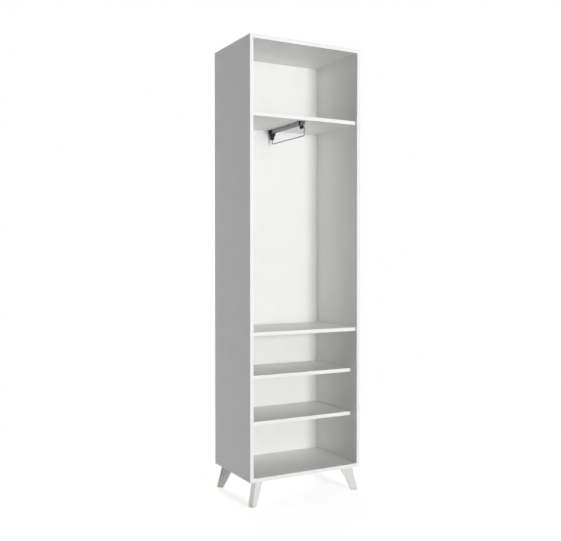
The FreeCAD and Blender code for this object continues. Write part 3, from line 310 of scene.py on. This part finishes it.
def whitewashed_wood(node):
    """Pale washed wood. The grain runs down the leg, and its rings come out in long arches on the faces."""
    top, run = leg_line(node)
    lean = math.atan2(run.xy.length, -run.z)
    bearing = math.atan2(run.y, run.x)
    finish = Finish(f"{node}_finish", specular=0.35)
    leg = finish.turned(finish.coordinates["Object"], top, Euler((0, -lean, bearing)))
    slow = finish.noise(finish.stretched(leg, (1, 1, 0.35)), scale=38)
    late_wood = finish.ramp(year_rings(finish, leg, LEG_HEARTS[node], slow), low=0.50, high=1.0)
    fibres = finish.noise(finish.stretched(leg, (1, 1, 0.03)), scale=1500, detail=3, roughness=0.6)
    fleck = finish.noise(finish.stretched(leg, (1, 1, 0.045)), scale=2200, detail=1)
    pores = finish.ramp(fleck, low=0.62, high=0.72)
    tone = finish.blend(finish.calculate("MULTIPLY", late_wood, RING_SHARE), WOOD_LIGHT, WOOD_RING)
    tone = finish.blend(finish.ramp(fibres, low=0.45, high=0.75, to_high=0.40), tone, WOOD_RING)
    open_pores = finish.ramp(late_wood, low=0, high=1, to_low=0.25, to_high=0.8)
    tone = finish.blend(finish.calculate("MULTIPLY", pores, open_pores), tone, WOOD_PORE)
    near_foot = finish.ramp(finish.split(leg)["Z"], low=-run.length, high=SCUFF_HEIGHT - run.length,
                            to_low=SCUFF_SHARE, to_high=0.0)
    scuffs = finish.calculate("MULTIPLY", near_foot, finish.ramp(slow, low=0.35, high=0.6))
    finish.set("Base Color", finish.blend(scuffs, tone, WOOD_PORE))
    finish.set("Roughness", finish.roughness(fibres, smooth=0.46, coarse=0.62))
    raised = finish.calculate("MULTIPLY", fibres, WOOD_FIBRE_RELIEF)
    finish.relief(finish.calculate("SUBTRACT", raised, pores), depth=0.00008)
    return finish.material


def beech():
    """Plain beech for the dowels, with short dark flecks."""
    finish = Finish("beech")
    flecks = finish.noise(finish.places(stretch=(1, 0.25, 0.25)), scale=900, detail=3)
    finish.set("Base Color", finish.blend(finish.ramp(flecks, low=0.4, high=0.65), BEECH_LIGHT, BEECH_DARK))
    finish.set("Roughness", finish.roughness(flecks, smooth=0.55, coarse=0.7))
    finish.relief(flecks, depth=0.00005)
    return finish.material


# Metal

def zinc_plating():
    """Bright zinc with a cloudy bloom."""
    finish = Finish("zinc_plating", metallic=1.0)
    bloom = finish.noise(finish.places(), scale=260, detail=4, roughness=0.6)
    grit = finish.noise(finish.places(), scale=2600)
    finish.set("Base Color", finish.blend(finish.ramp(bloom, low=0.35, high=0.65), ZINC, ZINC_DULL))
    finish.set("Roughness", finish.roughness(bloom, smooth=0.24, coarse=0.40))
    finish.relief(grit, depth=0.00002, strength=0.4)
    return finish.material


def rolled_steel():
    """Zinc-plated strip, with fine rolling lines along the rail."""
    finish = Finish("rolled_steel", metallic=1.0)
    lines = finish.noise(finish.places(stretch=(1, 0.012, 1)), scale=2400, detail=3)
    bloom = finish.noise(finish.places(), scale=90, detail=3)
    dull = finish.ramp(finish.mixed(lines, bloom, share=0.4), low=0.35, high=0.65)
    finish.set("Base Color", finish.blend(dull, STEEL, STEEL_DULL))
    finish.set("Roughness", finish.roughness(lines, smooth=0.22, coarse=0.38))
    finish.relief(lines, depth=0.00001)
    return finish.material


def bearing_steel():
    """Polished balls with a trace of grease."""
    finish = Finish("bearing_steel", metallic=1.0)
    film = finish.noise(finish.places(), scale=700)
    finish.set("Base Color", finish.blend(finish.ramp(film, low=0.4, high=0.7), CHROME, STEEL))
    finish.set("Roughness", finish.roughness(film, smooth=0.06, coarse=0.18))
    return finish.material


def chromed_wire():
    """Chrome over bent wire, with faint drawing lines and hook marks along its upper side."""
    finish = Finish("chromed_wire", metallic=1.0)
    lines = finish.noise(finish.places(stretch=(1, 0.03, 1)), scale=3000)
    rubs = finish.noise(finish.places(stretch=(0.2, 1, 0.2)), scale=900, detail=3)
    upper_side = finish.ramp(finish.split(finish.coordinates["Normal"])["Z"], low=0.3, high=0.9)
    worn = finish.calculate("MULTIPLY", finish.ramp(rubs, low=0.55, high=0.75), upper_side)
    finish.set("Base Color", finish.blend(worn, CHROME, STEEL))
    gloss = finish.roughness(lines, smooth=0.07, coarse=0.14)
    finish.set("Roughness", finish.calculate("ADD", gloss, finish.calculate("MULTIPLY", worn, WIRE_WEAR)))
    finish.relief(lines, depth=0.00001, strength=0.3)
    return finish.material


# Plastic

def moulded(name, light, dark, roughness, grain, specular=0.45):
    """Moulded plastic with a fine even grain."""
    finish = Finish(name, specular=specular)
    places = finish.places()
    flow = finish.noise(places, scale=120, detail=3)
    texture = finish.noise(places, scale=grain)
    finish.set("Base Color", finish.blend(finish.ramp(flow, low=0.35, high=0.65), light, dark))
    finish.set("Roughness", finish.roughness(texture, roughness - GRAIN_SPREAD, roughness + GRAIN_SPREAD))
    finish.relief(texture, depth=0.00004)
    return finish.material


# Which finish each node has

def paint(node, material):
    slots = frame["nodes"][node].data.materials
    slots.clear()
    slots.append(material)


def nodes_of(slot):
    return [row["node"] for row in frame["record"]["subparts"] if row["material_slot"] == slot]


def finish_part():
    shared = {
        "white_board": melamine(),
        "white_back": lacquered_back(),
        "white_plastic": moulded("white_cap", CAP_WHITE, CAP_SHADE, roughness=0.36, grain=1800),
        "dowel_wood": beech(),
        "zinc_steel": zinc_plating(),
        "rail_steel": rolled_steel(),
        "black_plastic": moulded("black_moulding", BLACK, BLACK_WORN, roughness=0.50, grain=2400,
                                 specular=0.22),
        "chromed_wire": chromed_wire(),
        "grey_plastic": moulded("grey_glide", GLIDE_GREY, GLIDE_SCUFF, roughness=0.55, grain=1500),
    }
    for slot, material in shared.items():
        for node in nodes_of(slot):
            paint(node, material)
    for node in nodes_of("white_band"):
        paint(node, edge_band(node))
    for node in nodes_of("pale_wood"):
        paint(node, whitewashed_wood(node))
    paint("rail_balls", bearing_steel())


# Studio

def add_object(name, data):
    made = bpy.data.objects.new(name, data)
    bpy.context.scene.collection.objects.link(made)
    return made


def light_panel(name, place, size, power, aim):
    data = bpy.data.lights.new(name, "AREA")
    data.shape = "RECTANGLE"
    data.size, data.size_y = size
    data.energy = power
    panel = add_object(name, data)
    panel.location = place
    panel.rotation_euler = (Vector(aim) - Vector(place)).to_track_quat("-Z", "Y").to_euler()
    panel.visible_camera = False


def surround():
    """White where it is seen, and a weak even light elsewhere."""
    world = bpy.data.worlds.new("Surround")
    world.use_nodes = True
    nodes = Nodes(world.node_tree)
    background = world.node_tree.nodes["Background"]
    nodes.feed(background.inputs["Color"], WHITE)
    nodes.feed(background.inputs["Strength"],
               nodes.ramp(nodes.seen_directly(), low=0, high=1, to_low=SURROUND, to_high=1.0))
    bpy.context.scene.world = world


def floor_finish():
    material = bpy.data.materials.new("floor_finish")
    material.use_nodes = True
    nodes = Nodes(material.node_tree)
    direct = nodes.seen_directly()
    surface = material.node_tree.nodes["Principled BSDF"]
    for socket, value in (
        ("Base Color", FLOOR_COLOUR),
        ("Roughness", FLOOR_ROUGHNESS),
        ("Specular IOR Level", FLOOR_SPECULAR),
        ("Emission Color", WHITE),
        ("Emission Strength", nodes.calculate("MULTIPLY", direct, FLOOR_LIFT)),
    ):
        nodes.feed(surface.inputs[socket], value)
    white = nodes.node("ShaderNodeEmission", {"Color": WHITE, "Strength": 1.0})
    place = nodes.node("ShaderNodeTexCoord", {}).outputs["Object"]
    distance = nodes.node("ShaderNodeVectorMath", {0: place}, operation="LENGTH").outputs["Value"]
    far = nodes.ramp(distance, low=FLOOR_SOLID, high=FLOOR_FADE, curve="SMOOTHSTEP")
    share = nodes.calculate("MULTIPLY", far, direct)
    mix = nodes.node("ShaderNodeMixShader", {0: share, 1: surface.outputs[0], 2: white.outputs[0]})
    nodes.feed(material.node_tree.nodes["Material Output"].inputs["Surface"], mix.outputs[0])
    return material


def floor():
    """A pale floor that keeps the shadow near the unit and runs out into white further off."""
    mesh = bpy.data.meshes.new("floor")
    corners = [(-FLOOR_REACH, -FLOOR_REACH, 0), (FLOOR_REACH, -FLOOR_REACH, 0),
               (FLOOR_REACH, FLOOR_REACH, 0), (-FLOOR_REACH, FLOOR_REACH, 0)]
    mesh.from_pydata(corners, [], [(0, 1, 2, 3)])
    mesh.materials.append(floor_finish())
    add_object("floor", mesh)


def camera():
    data = bpy.data.cameras.new("Camera")
    data.sensor_width = CAMERA_SENSOR
    data.lens = CAMERA_LENS
    eye = add_object("Camera", data)
    eye.location = CAMERA_PLACE
    eye.rotation_euler = (math.radians(90) + CAMERA_PITCH, 0, CAMERA_YAW)
    bpy.context.scene.camera = eye


finish_part()
surround()
floor()
for name, settings in PANELS.items():
    light_panel(name, **settings)
camera()
bpy.context.scene.view_settings.view_transform = "Standard"
